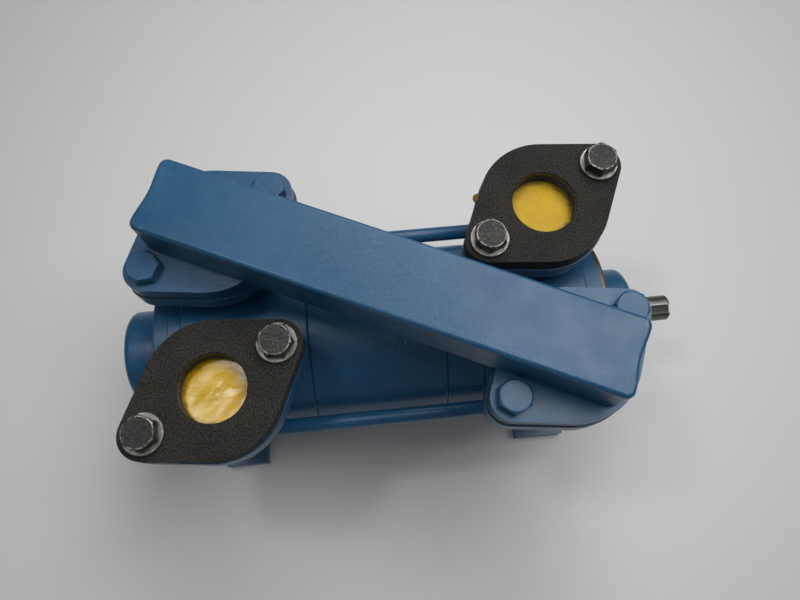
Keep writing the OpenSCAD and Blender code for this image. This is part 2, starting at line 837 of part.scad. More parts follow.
module flange_bolts(ports, turns, seat_z) {
    for (p = [0, 1], b = [0, 1]) at_ports([ports[p]]) rotate([0, 0, bolt_angle])
        translate([(2 * b - 1) * bolt_reach, 0, 0]) rotate([0, 0, turns[p][b]])
            hex_bolt(bolt_tip_z, seat_z, flange_bolt_r, flange_head_af, flange_head_h);
}

module manifold_bolts() {
    color("steelblue") flange_bolts(manifold_ports, manifold_turns, flange_z + flange_t);
}

module companion_bolts() {
    color("dimgray") flange_bolts(companion_ports, companion_turns, flange_z + companion_t + washer_t);
}

module companion_washers() {
    color("silver") at_ports(companion_ports) at_bolts() translate([0, 0, flange_z + companion_t])
        difference() {
            cylinder(h = washer_t, r = washer_r);
            translate([0, 0, -1]) cylinder(h = washer_t + 2, r = flange_hole_r);
        }
}

nde_casing();
de_casing();
stage_1_ring();
stage_2_ring();
intermediate_plate();
port_plate_1();
port_plate_2();
impeller_1();
impeller_2();
impeller_keys();
shaft();
nde_shaft_sleeve();
interstage_sleeve();
de_shaft_sleeve();
nde_seal_plate();
de_seal_plate();
seal_seats();
seal_faces();
seal_bellows();
seal_collars();
nde_bearing_bracket();
de_bearing_bracket();
nde_bearing_outer_race();
nde_bearing_inner_race();
nde_bearing_balls();
nde_bearing_cage();
de_bearing_outer_race();
de_bearing_inner_race();
de_bearing_balls();
de_bearing_cage();
bearing_spring();
housing_circlips();
shaft_circlips();
v_rings();
shaft_lip_seal();
bracket_screws();
tie_rods();
tie_rod_nuts();
tie_rod_washers();
drain_plug();
manifold();
manifold_gaskets();
manifold_bolts();
inlet_flange();
outlet_flange();
companion_gaskets();
port_blanking_sheets();
companion_bolts();
companion_washers();
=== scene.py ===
"""Looks of a two-stage liquid ring vacuum pump: a blue painted barrel pump on cast feet.

Everything is in metres in the pump's own frame: +X along the shaft to the drive end, +Y to the
back, +Z up, z = 0 at the feet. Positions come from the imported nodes' boxes and mounts. Sizes
that neither gives are named below.
"""

import json
import math
import random

import bmesh
import bpy
from mathutils import Matrix, Quaternion, Vector


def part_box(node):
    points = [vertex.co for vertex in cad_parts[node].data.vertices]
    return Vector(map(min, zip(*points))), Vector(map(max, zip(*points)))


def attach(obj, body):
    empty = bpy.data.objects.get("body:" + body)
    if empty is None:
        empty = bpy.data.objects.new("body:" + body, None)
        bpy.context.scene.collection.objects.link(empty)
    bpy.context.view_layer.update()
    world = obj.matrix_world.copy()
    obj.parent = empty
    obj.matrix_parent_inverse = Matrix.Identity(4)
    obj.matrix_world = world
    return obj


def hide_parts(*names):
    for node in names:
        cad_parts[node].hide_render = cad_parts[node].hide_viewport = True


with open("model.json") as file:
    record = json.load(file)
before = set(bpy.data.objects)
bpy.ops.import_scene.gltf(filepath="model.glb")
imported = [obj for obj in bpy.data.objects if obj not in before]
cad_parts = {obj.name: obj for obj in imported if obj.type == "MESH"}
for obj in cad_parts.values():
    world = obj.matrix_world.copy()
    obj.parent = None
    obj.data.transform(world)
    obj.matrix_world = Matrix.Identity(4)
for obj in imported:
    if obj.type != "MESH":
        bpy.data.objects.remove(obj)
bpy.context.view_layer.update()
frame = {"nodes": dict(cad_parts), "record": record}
scene = bpy.context.scene
MM = 0.001


# ---- places taken from the frame ----

def mount(name):
    """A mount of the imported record, by its name."""
    return next(m for m in frame["record"]["mounts"] if m["name"] == name)


INLET = Vector(mount("inlet_port")["pos_m"])
OUTLET = Vector(mount("outlet_port")["pos_m"])
PORT_X = OUTLET.x
PORT_Y = OUTLET.y
AXIS_Z = mount("shaft_end")["pos_m"][2]
THREAD_R = mount("inlet_port")["dims"]["r_mm"] * MM
FLANGE_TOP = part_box("inlet_flange")[1].z
FLANGE_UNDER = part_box("inlet_flange")[0].z
BAR_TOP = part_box("manifold")[1].z
SHEET_LOW, SHEET_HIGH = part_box("port_blanking_sheets")
BAR_TURN = math.atan2(-PORT_Y, PORT_X)
BAR_HALF_LENGTH = 0.1425
BAR_HALF_WIDTH = 0.023
BAR_EDGE = 0.0025                # round of the bar's upper edges
BAR_CORNER = 0.005               # round of its corners, seen from above
BAR_HOLLOW = 0.0015              # how far its ends dip in
BOLT_HEAD_HEIGHT = 0.0075
FLANGE_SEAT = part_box("manifold_bolts")[1].z - BOLT_HEAD_HEIGHT
FLANGE_TURN = math.radians(30.5)
BOLT_REACH = 0.043               # from a port's middle to each of its bolts
HEAD_R = 0.0086                  # rim of the flat top of a bolt head
HEAD_RIM = 0.0006                # how far the rubbed metal reaches from that rim
PORT_PITCH = 0.0023
PORT_MOUTH = 0.0012              # chamfer above a port's thread
SHEET_R = 0.033
FILM_WAVE = 0.00022
TAB_START = 0.031                # from the port's middle, under the sheet's rim
TAB_BEND = 0.0385                # from the port's middle to where the tab rises
TAB_RISE = 0.15
TAB_HALF_WIDTH = 0.0034
ROD_R = 0.005
ROD_PITCH = 0.00125
ROD_THREAD_START = 0.1265        # from the middle of the pump
# Paler blue for rubbed paint, and for the painted highlight along the bar's long edges
RUBBED_PAINT_AND_EDGE_HIGHLIGHT = (0.16, 0.25, 0.34)
MERGE = 1e-6


# ---- node helpers ----

class Shader:
    """A material's node tree, with short calls for the nodes that the finishes below share."""

    def __init__(self, name, color, roughness, metallic=0.0):
        self.material = bpy.data.materials.new(name)
        self.material.use_nodes = True
        self.tree = self.material.node_tree
        self.bsdf = self.tree.nodes["Principled BSDF"]
        self.bsdf.inputs["Base Color"].default_value = (*color, 1)
        self.bsdf.inputs["Roughness"].default_value = roughness
        self.bsdf.inputs["Metallic"].default_value = metallic
        self.place = self.add("ShaderNodeTexCoord").outputs["Object"]

    def add(self, kind, **settings):
        node = self.tree.nodes.new(kind)
        for key, value in settings.items():
            setattr(node, key, value)
        return node

    def link(self, source, target):
        self.tree.links.new(source, target)

    def put(self, socket, value):
        """Links an output to a socket, or sets the socket to a plain value."""
        if isinstance(value, bpy.types.NodeSocket):
            self.link(value, socket)
        elif isinstance(value, tuple) and len(value) == 3 and socket.type == "RGBA":
            socket.default_value = (*value, 1)
        else:
            socket.default_value = value

    def stretched(self, x, y, z, at=None):
        """Object coordinates, or another vector, scaled on each axis for streaks."""
        mapping = self.add("ShaderNodeMapping")
        self.link(at or self.place, mapping.inputs["Vector"])
        mapping.inputs["Scale"].default_value = (x, y, z)
        return mapping.outputs["Vector"]

    def noise(self, scale, detail=3.0, roughness=0.5, at=None):
        """Noise from 0 to 1 with features about 1 / scale metres across."""
        node = self.add("ShaderNodeTexNoise")
        self.link(at or self.place, node.inputs["Vector"])
        node.inputs["Scale"].default_value = scale
        node.inputs["Detail"].default_value = detail
        node.inputs["Roughness"].default_value = roughness
        return node.outputs["Fac"]

    def cells(self, scale):
        node = self.add("ShaderNodeTexVoronoi")
        self.link(self.place, node.inputs["Vector"])
        node.inputs["Scale"].default_value = scale
        return node.outputs["Distance"]

    def ramp(self, value, low, high, start=0.0, end=1.0):
        """Maps value from [low, high] to [start, end], held at the ends."""
        node = self.add("ShaderNodeMapRange", clamp=True)
        self.put(node.inputs["Value"], value)
        for name, number in (("From Min", low), ("From Max", high),
                             ("To Min", start), ("To Max", end)):
            node.inputs[name].default_value = number
        return node.outputs["Result"]

    def math(self, operation, a, b=0.0):
        node = self.add("ShaderNodeMath", operation=operation)
        self.put(node.inputs[0], a)
        self.put(node.inputs[1], b)
        return node.outputs[0]

    def mix(self, share, a, b):
        """Colour a where share is 0 and b where it is 1."""
        node = self.add("ShaderNodeMix", data_type="RGBA")
        self.put(node.inputs["Factor"], share)
        self.put(node.inputs["A"], a)
        self.put(node.inputs["B"], b)
        return node.outputs["Result"]

    def axis(self, name, at=None):
        """One coordinate of the object, or of another vector, in metres."""
        node = self.add("ShaderNodeSeparateXYZ")
        self.link(at or self.place, node.inputs["Vector"])
        return node.outputs[name]

    def distance(self, a, b):
        """How far (a, b) lies from the origin."""
        squares = [self.math("MULTIPLY", value, value) for value in (a, b)]
        return self.math("SQRT", self.math("ADD", *squares))

    def bump(self, height, depth, strength=1.0, below=None):
        """A bump of that depth in metres, on top of another bump if one is given."""
        node = self.add("ShaderNodeBump")
        node.inputs["Distance"].default_value = depth
        node.inputs["Strength"].default_value = strength
        self.put(node.inputs["Height"], height)
        if below is not None:
            self.link(below, node.inputs["Normal"])
        return node.outputs["Normal"]

    def finish(self, color=None, roughness=None, normal=None, metallic=None):
        for name, value in (("Base Color", color), ("Roughness", roughness), ("Normal", normal),
                            ("Metallic", metallic)):
            if value is not None:
                self.put(self.bsdf.inputs[name], value)
        return self.material


# ---- materials ----

def blue_enamel(name, patch=None, bare_rim=None, scuffs=None):
    """Steel-blue semi-gloss enamel brushed on castings.

    patch = (low x, high x, low z): part of the surface with a coarse orange peel.
    bare_rim = (low x, high x, radius): turned rim without paint, round the shaft axis.
    scuffs = (turn, half length, half width): rubbed ends and corners of a bar turned about Z, and a
    painted highlight in streaks along its long edges.
    """
    s = Shader(name, (0.014, 0.078, 0.165), 0.33)
    s.bsdf.inputs["Specular IOR Level"].default_value = 0.4
    cloud = s.noise(14, 4)
    fine = s.noise(240, 3)
    tone = s.mix(s.ramp(cloud, 0.35, 0.7), (0.010, 0.070, 0.155), (0.017, 0.092, 0.190))
    tone = s.mix(s.ramp(fine, 0.55, 0.8, 0, 0.35), tone, (0.035, 0.115, 0.22))
    chips = s.math("MULTIPLY", s.ramp(s.noise(130, 6, 0.7), 0.72, 0.735),
                   s.ramp(s.noise(11, 2), 0.5, 0.58))
    color = s.mix(chips, tone, (0.012, 0.03, 0.055))
    roughness = s.ramp(s.noise(60, 4), 0.3, 0.75, 0.27, 0.42)
    peel = s.bump(s.noise(420, 2), 0.00012, 0.5)
    strokes = s.bump(s.noise(1, 3, at=s.stretched(40, 420, 420)), 0.0001, 0.5, peel)
    grain = s.bump(s.noise(650, 5, 0.65), 0.0004, 0.25, strokes)
    normal = s.bump(s.noise(35, 2), 0.0006, 0.35, grain)
    metallic = None
    if patch:
        x, z = s.axis("X"), s.axis("Z")
        inside = s.math("MULTIPLY", s.ramp(x, patch[0] - 0.004, patch[0] + 0.004),
                        s.ramp(x, patch[1] + 0.002, patch[1] - 0.002))
        inside = s.math("MULTIPLY", inside, s.ramp(z, patch[2] - 0.006, patch[2] + 0.004))
        lumps = s.math("MULTIPLY", s.noise(420, 2, 0.4), inside)
        normal = s.bump(lumps, 0.0012, 0.6, normal)
        color = s.mix(s.math("MULTIPLY", inside, 0.3), color, (0.03, 0.075, 0.13))
    if bare_rim:
        x, y, z = s.axis("X"), s.axis("Y"), s.math("SUBTRACT", s.axis("Z"), AXIS_Z)
        radius = s.distance(y, z)
        rim = s.math("MULTIPLY", s.ramp(x, bare_rim[0] - 0.0003, bare_rim[0] + 0.0003),
                     s.ramp(x, bare_rim[1] + 0.0005, bare_rim[1]))
        rim = s.math("MULTIPLY", rim, s.ramp(radius, bare_rim[2] - 0.0006, bare_rim[2]))
        rim = s.math("MULTIPLY", rim, s.ramp(s.noise(160, 5, 0.65), 0.36, 0.46))
        color = s.mix(rim, color, (0.085, 0.075, 0.045))
        metallic = s.math("MULTIPLY", rim, 0.7)
    if scuffs:
        turn, half_length, half_width = scuffs
        mapping = s.add("ShaderNodeMapping", vector_type="TEXTURE")
        s.link(s.place, mapping.inputs["Vector"])
        mapping.inputs["Rotation"].default_value = (0, 0, turn)
        turned = mapping.outputs["Vector"]
        along = s.math("ABSOLUTE", s.axis("X", turned))
        wide = s.math("ABSOLUTE", s.axis("Y", turned))
        ends = s.ramp(along, half_length - 0.009, half_length - 0.003)
        corners = s.math("MULTIPLY", s.ramp(along, half_length - 0.028, half_length - 0.006),
                         s.ramp(wide, half_width - 0.014, half_width - 0.004))
        # Painted highlight: paler paint in streaks along the bar's long edges and sides
        edges = s.math("MULTIPLY", s.ramp(wide, half_width - 0.003, half_width - 0.001), 0.6)
        near = s.math("MAXIMUM", s.math("MAXIMUM", ends, corners), edges)
        scratch = s.noise(1, 6, 0.7, at=s.stretched(420, 120, 200, at=turned))
        rubbed = s.math("MULTIPLY", near, s.ramp(scratch, 0.59, 0.66, 0, 0.55))
        above_flange = s.ramp(s.axis("Z"), FLANGE_SEAT + 0.008, FLANGE_SEAT + 0.012)
        color = s.mix(s.math("MULTIPLY", rubbed, above_flange), color, RUBBED_PAINT_AND_EDGE_HIGHLIGHT)
        lines = s.noise(1, 4, 0.6, at=s.stretched(30, 900, 400))
        faint = s.math("MULTIPLY", s.ramp(lines, 0.70, 0.74), 0.3)
        on_top = s.ramp(s.axis("Z"), BAR_TOP - 0.004, BAR_TOP - 0.003)
        color = s.mix(s.math("MULTIPLY", faint, on_top), color, RUBBED_PAINT_AND_EDGE_HIGHLIGHT)
    return s.finish(color, roughness, normal, metallic)


def black_cast_iron():
    """Dark oiled sand casting with a coarse grain, a little rust in the hollows."""
    s = Shader("black_cast_iron", (0.012, 0.011, 0.010), 0.62)
    s.bsdf.inputs["Specular IOR Level"].default_value = 0.16
    grain = s.noise(1000, 4, 0.8)
    cloud = s.noise(45, 4)
    tone = s.mix(s.ramp(grain, 0.40, 0.66), (0.006, 0.0056, 0.0052), (0.075, 0.070, 0.063))
    tone = s.mix(s.ramp(cloud, 0.45, 0.75, 0, 0.35), tone, (0.005, 0.0045, 0.004))
    rust = s.math("MULTIPLY", s.ramp(s.noise(70, 5, 0.65), 0.58, 0.72),
                  s.ramp(grain, 0.62, 0.4, 0, 0.3))
    color = s.mix(rust, tone, (0.06, 0.032, 0.018))
    pits = s.bump(grain, 0.0009, 0.9)
    swell = s.bump(s.cells(420), 0.0006, 0.5, pits)
    return s.finish(color, s.ramp(cloud, 0.3, 0.7, 0.56, 0.70), swell)


def machined_iron():
    """Bare turned cast iron inside the ports, dark with fine tool rings."""
    s = Shader("machined_iron", (0.04, 0.037, 0.034), 0.25, 0.2)
    s.bsdf.inputs["Specular IOR Level"].default_value = 0.5
    rings = s.noise(1, 2, at=s.stretched(60, 60, 5200))
    tone = s.mix(s.ramp(rings, 0.3, 0.7), (0.012, 0.011, 0.010), (0.05, 0.047, 0.043))
    return s.finish(tone, s.ramp(s.noise(300, 3), 0.3, 0.7, 0.2, 0.38), s.bump(rings, 0.00006, 0.6))


def ground_steel(name, color, roughness=0.3):
    """Bare metal with fine lines that run round the shaft axis."""
    s = Shader(name, color, roughness, 1.0)
    lines = s.noise(1, 3, at=s.stretched(2600, 90, 90))
    stain = s.noise(70, 5, 0.6)
    dark = tuple(0.62 * c for c in color)
    tone = s.mix(s.ramp(lines, 0.3, 0.7), dark, color)
    tone = s.mix(s.ramp(stain, 0.55, 0.8, 0, 0.55), tone, (0.20, 0.17, 0.135))
    return s.finish(tone, s.ramp(stain, 0.35, 0.75, roughness, roughness + 0.18),
                    s.bump(lines, 0.00004, 0.5))


def oxide_steel():
    """Black oxide bolt heads, worn paler in small scuffs and browned here and there."""
    s = Shader("oxide_steel", (0.03, 0.028, 0.026), 0.42, 0.55)
    s.bsdf.inputs["Specular IOR Level"].default_value = 0.5
    scuff = s.noise(650, 7, 0.75)
    cloud = s.noise(150, 4)
    tone = s.mix(s.ramp(scuff, 0.46, 0.66), (0.012, 0.0115, 0.011), (0.065, 0.061, 0.056))
    tone = s.mix(s.ramp(cloud, 0.50, 0.72, 0, 0.55), tone, (0.030, 0.026, 0.022))
    tone = s.mix(s.ramp(s.noise(260, 5, 0.7), 0.60, 0.70, 0, 0.5), tone, (0.085, 0.058, 0.040))
    pits = s.bump(scuff, 0.0004, 0.8)
    return s.finish(tone, s.ramp(cloud, 0.3, 0.7, 0.36, 0.52), pits)


def worn_edge():
    """Rubbed metal on the corners of bolt heads."""
    s = Shader("worn_edge", (0.3, 0.29, 0.27), 0.38, 0.9)
    scuff = s.noise(420, 6, 0.75)
    tone = s.mix(s.ramp(scuff, 0.42, 0.6), (0.035, 0.033, 0.031), (0.34, 0.33, 0.30))
    return s.finish(tone, s.ramp(scuff, 0.3, 0.7, 0.32, 0.5), s.bump(scuff, 0.0003, 0.7))


def zinc_plate():
    """Dull grey zinc with darker bloom and fine turning lines."""
    s = Shader("zinc_plate", (0.30, 0.29, 0.27), 0.46, 0.85)
    bloom = s.noise(260, 6, 0.7)
    stain = s.noise(60, 4)
    tone = s.mix(s.ramp(bloom, 0.38, 0.68), (0.34, 0.33, 0.30), (0.15, 0.14, 0.125))
    tone = s.mix(s.ramp(stain, 0.5, 0.7, 0, 0.5), tone, (0.12, 0.11, 0.10))
    lines = s.noise(1, 2, at=s.stretched(1500, 200, 900))
    return s.finish(tone, s.ramp(bloom, 0.3, 0.7, 0.42, 0.60), s.bump(lines, 0.00006, 0.6))


def bronze(name, color):
    s = Shader(name, color, 0.34, 1.0)
    cloud = s.noise(90, 5, 0.6)
    tone = s.mix(s.ramp(cloud, 0.35, 0.7), color, tuple(0.5 * c for c in color))
    grain = s.bump(s.noise(700, 4, 0.6), 0.0002, 0.5)
    return s.finish(tone, s.ramp(cloud, 0.3, 0.7, 0.28, 0.5), grain)


def grey_iron():
    s = Shader("grey_iron", (0.2, 0.2, 0.2), 0.45, 0.7)
    cloud = s.noise(180, 5, 0.6)
    tone = s.mix(s.ramp(cloud, 0.35, 0.7), (0.15, 0.15, 0.148), (0.29, 0.285, 0.275))
    return s.finish(tone, s.ramp(cloud, 0.3, 0.7, 0.36, 0.55), s.bump(s.noise(900, 3), 0.0001, 0.5))


def dull(name, color, roughness, depth=0.0001):
    """Rubber, fibre, carbon and ceramic: one colour broken up by fine grain."""
    s = Shader(name, color, roughness)
    grain = s.noise(800, 4, 0.6)
    dark, light = (tuple(share * c for c in color) for share in (0.75, 1.3))
    tone = s.mix(s.ramp(grain, 0.3, 0.7), dark, light)
    return s.finish(tone, s.ramp(s.noise(90, 3), 0.3, 0.7, roughness - 0.08, roughness + 0.1),
                    s.bump(grain, depth, 0.6))


def yellow_film():
    """Thin yellow film with a faint crinkle, browner towards the rim and where oil got under it."""
    s = Shader("yellow_film", (0.62, 0.36, 0.0), 0.26)
    s.bsdf.inputs["Specular IOR Level"].default_value = 0.4
    cloud = s.noise(70, 5, 0.6)
    tone = s.mix(s.ramp(cloud, 0.35, 0.7), (0.50, 0.30, 0.0), (0.60, 0.37, 0.002))
    oil = s.ramp(s.noise(170, 6, 0.7), 0.60, 0.70, 0, 0.5)
    x, y = s.math("ABSOLUTE", s.axis("X")), s.math("ABSOLUTE", s.axis("Y"))
    x, y = s.math("SUBTRACT", x, OUTLET.x), s.math("SUBTRACT", y, OUTLET.y)
    radius = s.distance(x, y)
    ragged = s.math("ADD", radius, s.ramp(s.noise(120, 5, 0.65), 0.3, 0.7, -0.0022, 0.0022))
    rim = s.ramp(ragged, 0.0165, 0.0195, 0, 0.85)
    color = s.mix(oil, tone, (0.30, 0.17, 0.006))
    color = s.mix(rim, color, (0.16, 0.085, 0.004))
    crinkle = s.bump(s.noise(1, 3, 0.6, at=s.stretched(90, 260, 90)), 0.0009, 0.22)
    fine = s.bump(s.noise(900, 2), 0.00008, 0.4, crinkle)
    dry = s.ramp(s.axis("X"), -0.01, 0.01, 0, 0.36)
    return s.finish(color, s.math("ADD", dry, s.ramp(cloud, 0.3, 0.7, 0.20, 0.30)), fine)


FINISH = {
    "blue_enamel": blue_enamel("blue_enamel"),
    "black_cast_iron": black_cast_iron(),
    "grey_cast_iron": grey_iron(),
    "cast_bronze": bronze("cast_bronze", (0.60, 0.36, 0.18)),
    "ground_steel": ground_steel("ground_steel", (0.20, 0.19, 0.17)),
    "bearing_steel": ground_steel("bearing_steel", (0.62, 0.62, 0.62), 0.14),
    "cage_brass": bronze("cage_brass", (0.72, 0.52, 0.20)),
    "black_oxide_steel": oxide_steel(),
    "zinc_plate": zinc_plate(),
    "ceramic": dull("ceramic", (0.78, 0.77, 0.73), 0.25),
    "carbon": dull("carbon", (0.03, 0.03, 0.03), 0.4),
    "black_rubber": dull("black_rubber", (0.025, 0.025, 0.025), 0.55),
    "gasket_sheet": dull("gasket_sheet", (0.035, 0.042, 0.05), 0.7, 0.0002),
    "yellow_film": yellow_film(),
}
THREAD = machined_iron()
EDGE = worn_edge()
RING_1 = blue_enamel("enamel_ring_1", patch=(0.002, 0.04, AXIS_Z + 0.044))
BRACKET = blue_enamel("enamel_bracket", bare_rim=(0.1415, 0.1455, 0.0550))
# The bar's paint also carries a painted highlight along its long edges
BAR = blue_enamel("enamel_bar", scuffs=(BAR_TURN, BAR_HALF_LENGTH, BAR_HALF_WIDTH))

slot_of = {s["node"]: s["material_slot"] for s in frame["record"]["subparts"]}
for node, obj in frame["nodes"].items():
    obj.data.materials.clear()
    obj.data.materials.append(FINISH[slot_of[node]])


# ---- pieces ----

bodies = frame["record"]["behaviour"]["bodies"]
body_of = {node: body for body, nodes in bodies.items() for node in nodes}


def clean(mesh):
    """Joins doubled points and flat neighbouring faces, and turns faces outwards."""
    bm = bmesh.new()
    bm.from_mesh(mesh)
    bmesh.ops.remove_doubles(bm, verts=bm.verts, dist=MERGE)
    bmesh.ops.dissolve_limit(bm, angle_limit=math.radians(0.4), verts=bm.verts, edges=bm.edges)
    bmesh.ops.recalc_face_normals(bm, faces=bm.faces)
    for face in bm.faces:
        face.smooth = True
    bm.to_mesh(mesh)
    bm.free()


def new_piece(name, mesh, nodes, *materials):
    """An object that stands for CAD nodes, rides on their body and wears these materials."""
    piece = bpy.data.objects.new(name, mesh)
    scene.collection.objects.link(piece)
    mesh.materials.clear()
    for material in materials:
        mesh.materials.append(material)
    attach(piece, body_of[nodes[0]])
    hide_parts(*nodes)
    return piece


def copied(node, *materials):
    """A copy of a node's shape that modifiers can work on."""
    mesh = frame["nodes"][node].data.copy()
    if "custom_normal" in mesh.attributes:
        mesh.attributes.remove(mesh.attributes["custom_normal"])
    clean(mesh)
    return new_piece(node + "_piece", mesh, [node], *(materials or (FINISH[slot_of[node]],)))


def soften(piece, width, angle=30, segments=3):
    """Rounds the sharp edges, in metres."""
    bevel = piece.modifiers.new("soften", "BEVEL")
    bevel.width = width
    bevel.segments = segments
    bevel.limit_method = "ANGLE"
    bevel.angle_limit = math.radians(angle)
    bevel.harden_normals = False
    even = piece.modifiers.new("even", "WEIGHTED_NORMAL")
    even.keep_sharp = True
    even.weight = 60
    return piece


def applied(piece):
    """Turns a piece's modifiers into its own mesh."""
    depsgraph = bpy.context.evaluated_depsgraph_get()
    mesh = bpy.data.meshes.new_from_object(piece.evaluated_get(depsgraph))
    piece.modifiers.clear()
    piece.data = mesh
    return piece


def lathe(points, steps, place):
    """A closed solid of revolution about Z through (radius, height) points, moved by a matrix."""
    bm = bmesh.new()
    rings = []
    for k in range(steps):
        turn = 2 * math.pi * k / steps
        rings.append([bm.verts.new(place @ Vector((r * math.cos(turn), r * math.sin(turn), z)))
                      for r, z in points])
    for k in range(steps):
        a, b = rings[k], rings[(k + 1) % steps]
        for i in range(len(points) - 1):
            if points[i][0] > 1e-7 or points[i + 1][0] > 1e-7:
                bm.faces.new((a[i], b[i], b[i + 1], a[i + 1]))
    bmesh.ops.remove_doubles(bm, verts=bm.verts, dist=1e-7)
    bmesh.ops.recalc_face_normals(bm, faces=bm.faces)
    for face in bm.faces:
        face.smooth = True
    mesh = bpy.data.meshes.new("lathe")
    bm.to_mesh(mesh)
    bm.free()
    return mesh


def thread_points(low, high, crest, root, pitch):
    """Profile of a thread between two heights; its crests are flat for a tenth of the pitch."""
    points = []
    z = low
    while z + pitch <= high:
        points += [(root, z), (crest, z + 0.45 * pitch), (crest, z + 0.55 * pitch)]
        z += pitch
    return points + [(root, z)]


def cut_threads(piece, centre, low, high):
    """Cuts pipe thread grooves into a flange's bore."""
    grooves = thread_points(low, high, THREAD_R + 0.0011, THREAD_R - 0.0003, PORT_PITCH)
    grooves = [(0, low)] + grooves + [(0, grooves[-1][1])]
    cutter = bpy.data.objects.new("cutter", lathe(grooves, 96, Matrix.Translation(centre)))
    scene.collection.objects.link(cutter)
    boolean = piece.modifiers.new("thread", "BOOLEAN")
    boolean.object = cutter
    boolean.solver = "EXACT"
    applied(piece)
    bpy.data.objects.remove(cutter)


def companion_flange(node, centre):
    """A rough cast flange with a threaded bore."""
    piece = copied(node, FINISH["black_cast_iron"], THREAD)
    thread_top = FLANGE_TOP - PORT_MOUTH
    cut_threads(piece, Vector((centre.x, centre.y, 0)), FLANGE_UNDER - 0.001, thread_top)
    clean(piece.data)
    for face in piece.data.polygons:
        out = max(math.dist(piece.data.vertices[v].co.xy, centre.xy) for v in face.vertices)
        inside = FLANGE_UNDER + 1e-5 < face.center.z < thread_top + 0.0001
        face.material_index = 1 if out < THREAD_R + 0.0014 and inside else 0
    soften(piece, 0.0018, 50, 4)


def bolt_set(node, *materials):
    """Bolts with rounded corners; the rim of each head's top is rubbed where it isn't painted."""
    piece = applied(soften(copied(node, *materials), 0.00035, 20, 2))
    if len(materials) < 2:
        return
    top = max(v.co.z for v in piece.data.vertices)
    middles = []
    for port in (INLET, OUTLET):
        for side in (-1, 1):
            middles.append(Vector((port.x + side * BOLT_REACH * math.cos(FLANGE_TURN),
                                   port.y + side * BOLT_REACH * math.sin(FLANGE_TURN), 0)))
    for face in piece.data.polygons:
        flat = Vector((face.center.x, face.center.y, 0))
        out = min((flat - m).length for m in middles)
        near_rim = face.center.z > top - HEAD_RIM and abs(out - HEAD_R) < HEAD_RIM
        face.material_index = 1 if near_rim and face.normal.z < 0.995 else 0


def bar_ring(inset):
    """Outline of the manifold's bar along X, moved in by inset: round corners, hollow ends."""
    corner_steps, end_steps = 8, 12
    half_x, corner = BAR_HALF_LENGTH - inset, BAR_CORNER - inset
    flat_y = BAR_HALF_WIDTH - inset - corner
    points = []
    for start, sx, sy in ((0, 1, 1), (90, -1, 1), (180, -1, -1), (270, 1, -1)):
        for k in range(corner_steps + 1):
            a = math.radians(start + 90 * k / corner_steps)
            points.append((sx * (half_x - corner) + corner * math.cos(a),
                           sy * flat_y + corner * math.sin(a)))
        if sx != sy:
            for k in range(1, end_steps):
                y = sy * flat_y * (1 - 2 * k / end_steps)
                dip = BAR_HOLLOW * (0.5 + 0.5 * math.cos(math.pi * y / flat_y))
                points.append((sx * (half_x - dip), y))
    return points


def manifold():
    """The flanges cut off at their tops, with a solid bar rounded all round set on them."""
    piece = copied("manifold", BAR)
    overlap, cut_height = 0.0005, 0.1
    bm = bmesh.new()
    turn = Matrix.Rotation(BAR_TURN, 4, "Z")
    levels = [(0, FLANGE_SEAT - overlap), (0, BAR_TOP - 0.02)]
    levels += [(BAR_EDGE * (1 - math.cos(a)), BAR_TOP - BAR_EDGE * (1 - math.sin(a)))
               for a in (math.radians(15 * k) for k in range(7))]
    rings = [[bm.verts.new(turn @ Vector((x, y, z))) for x, y in bar_ring(inset)]
             for inset, z in levels]
    for lower, upper in zip(rings, rings[1:]):
        for k in range(len(lower)):
            n = (k + 1) % len(lower)
            bm.faces.new((lower[k], lower[n], upper[n], upper[k]))
    bm.faces.new(list(reversed(rings[0])))
    bm.faces.new(rings[-1])
    bmesh.ops.recalc_face_normals(bm, faces=bm.faces)
    mesh = bpy.data.meshes.new("bar")
    bm.to_mesh(mesh)
    bm.free()
    bar = bpy.data.objects.new("bar", mesh)
    bpy.ops.mesh.primitive_cube_add(size=1, location=(0, 0, FLANGE_SEAT + cut_height / 2),
                                    scale=(0.5, 0.5, cut_height))
    above = bpy.context.object
    scene.collection.objects.link(bar)
    for other, operation in ((above, "DIFFERENCE"), (bar, "UNION")):
        boolean = piece.modifiers.new("join", "BOOLEAN")
        boolean.object = other
        boolean.operation = operation
        boolean.solver = "EXACT"
    applied(piece)
    bpy.data.objects.remove(above)
    bpy.data.objects.remove(bar)
    clean(piece.data)
    piece.data.materials.clear()
    piece.data.materials.append(BAR)
    soften(piece, 0.0014)


